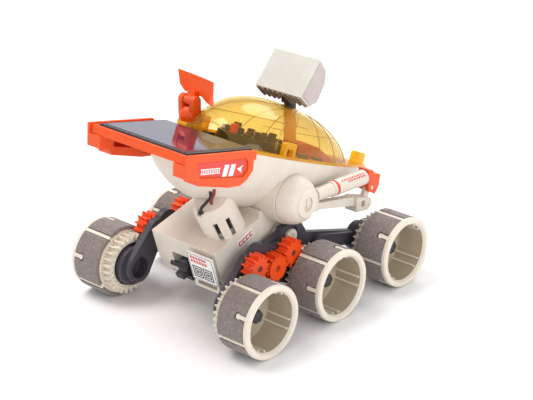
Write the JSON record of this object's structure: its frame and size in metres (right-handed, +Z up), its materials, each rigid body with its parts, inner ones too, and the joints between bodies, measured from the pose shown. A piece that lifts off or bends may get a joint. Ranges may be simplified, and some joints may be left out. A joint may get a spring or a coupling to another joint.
{
  "type": "solar robot kit",
  "caption": "Toy solar rover with rocker-bogie legs, geared cup-shaped wheels with foam pads, solar tray, clear amber canopy, swivelling dish and tilting sensor head.",
  "frame": {"origin": "floor level, at the middle of the overall length and width", "axes": "+X to the nose, +Y to the left side of the rover, +Z up"},
  "size_m": [0.1598, 0.1128, 0.1094],
  "materials": {
    "cream": "satin moulded plastic",
    "foam": "grained foam",
    "slate": "satin dark plastic",
    "orange": "glossy plastic",
    "amber": "clear amber plastic",
    "black": "glossy black plastic",
    "steel": "plain steel",
    "olive": "dark satin plastic",
    "cell": "glossy solar cell",
    "cable": "thin insulated wire"
  },
  "bodies": {
    "chassis": {"gearbox_housing": "cream", "rear_bracket": "cream", "label_plate": "cream", "motor_cover": "cream", "motor": "steel", "panel_lead": "cable", "hull_shell": "cream", "cockpit_deck": "olive", "cockpit_console": "orange", "canopy": "amber", "pod_right": "cream", "pod_left": "cream", "solar_tray": "orange", "solar_module": "cell", "end_plate_right": "orange", "end_plate_left": "orange", "pivot_pins": "cream"},
    "knob": {"star_knob": "black"},
    "antenna": {"antenna_yoke": "orange"},
    "dish": {"antenna_dish": "orange"},
    "neck": {"head_neck": "slate"},
    "head": {"head_box": "cream", "head_grille": "foam"},
    "tool_arm_right": {"pod_cap_right": "cream", "tool_tube_right": "cream", "tool_bar_right": "cream"},
    "knuckle_right": {"tool_knuckle_right": "orange"},
    "rocker_right": {"rocker_right": "slate", "bogie_pin_right": "steel", "cap_front_right": "black"},
    "bogie_right": {"bogie_right": "slate", "caps_bogie_right": "black"},
    "gear_low_right": {"gear_low_right": "orange"},
    "gear_mid_right": {"gear_mid_right": "orange"},
    "gear_up_right": {"gear_up_right": "orange"},
    "wheel_rear_right": {"rim_rear_right": "cream", "pads_rear_right": "foam"},
    "wheel_middle_right": {"rim_middle_right": "cream", "pads_middle_right": "foam"},
    "wheel_front_right": {"rim_front_right": "cream", "pads_front_right": "foam"},
    "tool_arm_left": {"pod_cap_left": "cream", "tool_tube_left": "cream", "tool_bar_left": "cream"},
    "knuckle_left": {"tool_knuckle_left": "orange"},
    "rocker_left": {"rocker_left": "slate", "bogie_pin_left": "steel", "cap_front_left": "black"},
    "bogie_left": {"bogie_left": "slate", "caps_bogie_left": "black"},
    "gear_low_left": {"gear_low_left": "orange"},
    "gear_mid_left": {"gear_mid_left": "orange"},
    "gear_up_left": {"gear_up_left": "orange"},
    "wheel_rear_left": {"rim_rear_left": "cream", "pads_rear_left": "foam"},
    "wheel_middle_left": {"rim_middle_left": "cream", "pads_middle_left": "foam"},
    "wheel_front_left": {"rim_front_left": "cream", "pads_front_left": "foam"}
  },
  "joints": [
    {"name": "rocker_right_pivot", "type": "hinge", "parent": "chassis", "child": "rocker_right", "pos_m": [-0.0085, -0.025, 0.035], "axis": [0, 1, 0], "range_deg": [-6, 6]},
    {"name": "bogie_right_pivot", "type": "hinge", "parent": "rocker_right", "child": "bogie_right", "pos_m": [-0.02965, -0.029, 0.02938], "axis": [0, 1, 0], "range_deg": [-10, 10]},
    {"name": "wheel_rear_right_spin", "type": "hinge", "parent": "bogie_right", "child": "wheel_rear_right", "pos_m": [-0.0538, -0.045, 0.0175], "axis": [0, 1, 0], "continuous": true},
    {"name": "wheel_middle_right_spin", "type": "hinge", "parent": "bogie_right", "child": "wheel_middle_right", "pos_m": [-0.0055, -0.045, 0.0175], "axis": [0, 1, 0], "continuous": true},
    {"name": "wheel_front_right_spin", "type": "hinge", "parent": "rocker_right", "child": "wheel_front_right", "pos_m": [0.0428, -0.045, 0.0175], "axis": [0, 1, 0], "continuous": true},
    {"name": "gear_low_right_spin", "type": "hinge", "parent": "bogie_right", "child": "gear_low_right", "pos_m": [-0.04111, -0.034, 0.03295], "axis": [0, 1, 0], "continuous": true},
    {"name": "gear_mid_right_spin", "type": "hinge", "parent": "bogie_right", "child": "gear_mid_right", "pos_m": [-0.02965, -0.034, 0.02938], "axis": [0, 1, 0], "continuous": true},
    {"name": "gear_up_right_spin", "type": "hinge", "parent": "bogie_right", "child": "gear_up_right", "pos_m": [-0.01819, -0.034, 0.03295], "axis": [0, 1, 0], "continuous": true},
    {"name": "tool_arm_right_lift", "type": "hinge", "parent": "chassis", "child": "tool_arm_right", "pos_m": [-0.0095, -0.033, 0.0545], "axis": [0, 1, 0], "range_deg": [-20, 0]},
    {"name": "knuckle_right_rock", "type": "hinge", "parent": "tool_arm_right", "child": "knuckle_right", "pos_m": [0.0449, -0.0294, 0.0442], "axis": [0, 1, 0], "range_deg": [-1, 14]},
    {"name": "rocker_left_pivot", "type": "hinge", "parent": "chassis", "child": "rocker_left", "pos_m": [-0.0085, 0.025, 0.035], "axis": [0, 1, 0], "range_deg": [-6, 6]},
    {"name": "bogie_left_pivot", "type": "hinge", "parent": "rocker_left", "child": "bogie_left", "pos_m": [-0.02965, 0.029, 0.02938], "axis": [0, 1, 0], "range_deg": [-10, 10]},
    {"name": "wheel_rear_left_spin", "type": "hinge", "parent": "bogie_left", "child": "wheel_rear_left", "pos_m": [-0.0538, 0.045, 0.0175], "axis": [0, 1, 0], "continuous": true},
    {"name": "wheel_middle_left_spin", "type": "hinge", "parent": "bogie_left", "child": "wheel_middle_left", "pos_m": [-0.0055, 0.045, 0.0175], "axis": [0, 1, 0], "continuous": true},
    {"name": "wheel_front_left_spin", "type": "hinge", "parent": "rocker_left", "child": "wheel_front_left", "pos_m": [0.0428, 0.045, 0.0175], "axis": [0, 1, 0], "continuous": true},
    {"name": "gear_low_left_spin", "type": "hinge", "parent": "bogie_left", "child": "gear_low_left", "pos_m": [-0.04111, 0.034, 0.03295], "axis": [0, 1, 0], "continuous": true},
    {"name": "gear_mid_left_spin", "type": "hinge", "parent": "bogie_left", "child": "gear_mid_left", "pos_m": [-0.02965, 0.034, 0.02938], "axis": [0, 1, 0], "continuous": true},
    {"name": "gear_up_left_spin", "type": "hinge", "parent": "bogie_left", "child": "gear_up_left", "pos_m": [-0.01819, 0.034, 0.03295], "axis": [0, 1, 0], "continuous": true},
    {"name": "tool_arm_left_lift", "type": "hinge", "parent": "chassis", "child": "tool_arm_left", "pos_m": [-0.0095, 0.033, 0.0545], "axis": [0, 1, 0], "range_deg": [-20, 0]},
    {"name": "knuckle_left_rock", "type": "hinge", "parent": "tool_arm_left", "child": "knuckle_left", "pos_m": [0.0449, 0.0294, 0.0442], "axis": [0, 1, 0], "range_deg": [-1, 14]},
    {"name": "knob_turn", "type": "hinge", "parent": "chassis", "child": "knob", "pos_m": [-0.0478, 0, 0.0234], "axis": [0, 1, 0], "continuous": true},
    {"name": "antenna_swivel", "type": "hinge", "parent": "chassis", "child": "antenna", "pos_m": [-0.025, 0.021, 0.086], "axis": [0, 0, 1], "range_deg": [-170, 170]},
    {"name": "dish_tilt", "type": "hinge", "parent": "antenna", "child": "dish", "pos_m": [-0.025, 0.021, 0.095], "axis": [0, 1, 0], "range_deg": [-3, 20]},
    {"name": "head_pan", "type": "hinge", "parent": "chassis", "child": "neck", "pos_m": [0.0215, 0, 0.086], "axis": [0, 0, 1], "range_deg": [-30, 30]},
    {"name": "head_tilt", "type": "hinge", "parent": "neck", "child": "head", "pos_m": [0.0215, 0, 0.095], "axis": [0, 1, 0], "range_deg": [-15, 15]}
  ],
  "couplings": [
    {"joint": "gear_low_right_spin", "follows": "wheel_rear_right_spin", "ratio": -2.3333},
    {"joint": "gear_mid_right_spin", "follows": "wheel_rear_right_spin", "ratio": 2.3333},
    {"joint": "gear_up_right_spin", "follows": "wheel_rear_right_spin", "ratio": -2.3333},
    {"joint": "wheel_middle_right_spin", "follows": "wheel_rear_right_spin", "ratio": 1},
    {"joint": "gear_low_left_spin", "follows": "wheel_rear_right_spin", "ratio": -2.3333},
    {"joint": "gear_mid_left_spin", "follows": "wheel_rear_right_spin", "ratio": 2.3333},
    {"joint": "gear_up_left_spin", "follows": "wheel_rear_right_spin", "ratio": -2.3333},
    {"joint": "wheel_middle_left_spin", "follows": "wheel_rear_right_spin", "ratio": 1},
    {"joint": "wheel_rear_left_spin", "follows": "wheel_rear_right_spin", "ratio": 1},
    {"joint": "rocker_left_pivot", "follows": "rocker_right_pivot", "ratio": -1}
  ]
}
